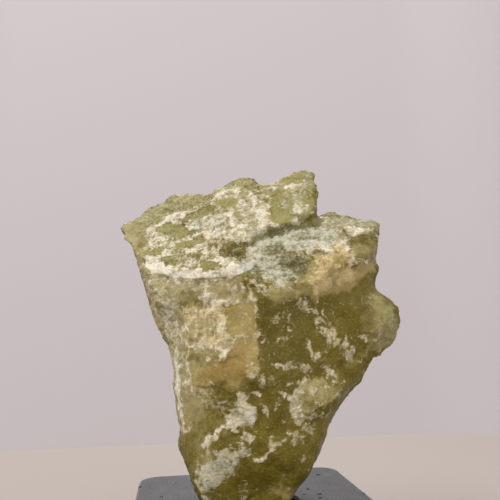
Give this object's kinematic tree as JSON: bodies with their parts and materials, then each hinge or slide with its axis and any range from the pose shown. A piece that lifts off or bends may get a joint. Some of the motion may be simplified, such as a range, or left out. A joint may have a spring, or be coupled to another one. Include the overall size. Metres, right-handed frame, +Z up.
{
  "type": "jade stone on stand",
  "caption": "Rough green jade stone, broad at the top and tapering to a foot that sits loose in the round socket of a square, dark grey basalt display stand.",
  "frame": {"origin": "middle of the stand's flat underside, which rests on the shelf", "axes": "+Z up; X and Y along the sides of the square stand, +Y towards the back, with the stone's broad front face looking past -Y"},
  "size_m": [0.064, 0.05, 0.1006],
  "materials": {
    "rough_jade": "rough broken olive green jade with a pale cream crust",
    "honed_basalt": "honed dark grey stone with fine open pores"
  },
  "bodies": {
    "root": {"jade_stone": "rough_jade", "stand": "honed_basalt"}
  },
  "joints": []
}
